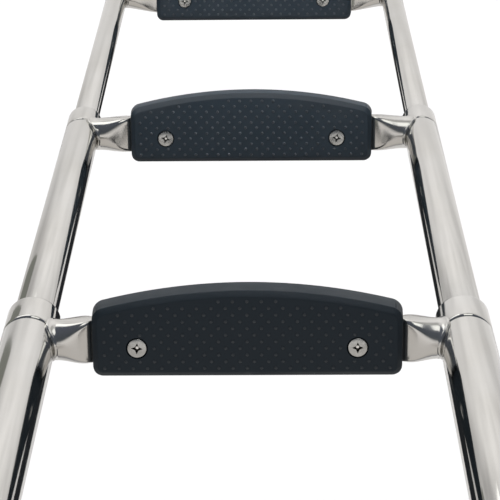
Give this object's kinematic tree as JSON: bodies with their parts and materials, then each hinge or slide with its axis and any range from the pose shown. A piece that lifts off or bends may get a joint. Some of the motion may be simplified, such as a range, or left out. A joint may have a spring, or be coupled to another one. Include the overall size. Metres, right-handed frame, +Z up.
{
  "type": "boat boarding ladder",
  "caption": "Telescoping polished tube ladder with black moulded treads and deck hinges, for climbing aboard a boat; it slides together and swings up to stow.",
  "frame": {"origin": "on the deck plane under both bracket bases, midway between the rails and straight under the hinge axis", "axes": "+Z up with the ladder hanging in use, -Y outboard to the climber, +Y to the boat, +X to the climber's right along the hinge axis"},
  "size_m": [0.3056, 0.3379, 0.9169],
  "materials": {
    "polished_stainless": "mirror polished stainless steel tube and plate",
    "fastener_stainless": "plain stainless fastener, slightly dull",
    "black_moulding": "blue-black moulded tread with fine grain and small raised dots",
    "black_cap": "black moulded cap, satin",
    "white_nylon": "natural nylon, slightly waxy"
  },
  "bodies": {
    "mount": {"left_deck_bracket": "polished_stainless", "left_pivot_bolt": "fastener_stainless", "left_pivot_nut": "fastener_stainless", "left_outer_washer": "white_nylon", "left_inner_washer": "white_nylon", "right_deck_bracket": "polished_stainless", "right_pivot_bolt": "fastener_stainless", "right_pivot_nut": "fastener_stainless", "right_outer_washer": "white_nylon", "right_inner_washer": "white_nylon"},
    "upper_section": {"left_upper_tube": "polished_stainless", "left_top_cap": "black_cap", "left_upper_collar": "polished_stainless", "right_upper_tube": "polished_stainless", "right_top_cap": "black_cap", "right_upper_collar": "polished_stainless", "upper_rung": "polished_stainless", "upper_tread": "black_moulding", "upper_left_screw": "fastener_stainless", "upper_left_nut": "fastener_stainless", "upper_right_screw": "fastener_stainless", "upper_right_nut": "fastener_stainless"},
    "middle_section": {"left_middle_tube": "polished_stainless", "left_middle_bush": "white_nylon", "left_middle_collar": "polished_stainless", "right_middle_tube": "polished_stainless", "right_middle_bush": "white_nylon", "right_middle_collar": "polished_stainless", "middle_rung": "polished_stainless", "middle_tread": "black_moulding", "middle_left_screw": "fastener_stainless", "middle_left_nut": "fastener_stainless", "middle_right_screw": "fastener_stainless", "middle_right_nut": "fastener_stainless"},
    "lower_section": {"left_lower_tube": "polished_stainless", "left_lower_bush": "white_nylon", "left_end_plug": "black_cap", "right_lower_tube": "polished_stainless", "right_lower_bush": "white_nylon", "right_end_plug": "black_cap", "lower_rung": "polished_stainless", "lower_tread": "black_moulding", "lower_left_screw": "fastener_stainless", "lower_left_nut": "fastener_stainless", "lower_right_screw": "fastener_stainless", "lower_right_nut": "fastener_stainless"}
  },
  "joints": [
    {"name": "swing", "type": "hinge", "parent": "mount", "child": "upper_section", "pos_m": [0, 0, 0.032], "axis": [-1, 0, 0], "range_deg": [0, 254]},
    {"name": "middle_slide", "type": "slide", "parent": "upper_section", "child": "middle_section", "axis": [0, 0.2588, 0.9659], "range_m": [0, 0.238]},
    {"name": "lower_slide", "type": "slide", "parent": "middle_section", "child": "lower_section", "axis": [0, 0.2588, 0.9659], "range_m": [0, 0.238]}
  ]
}
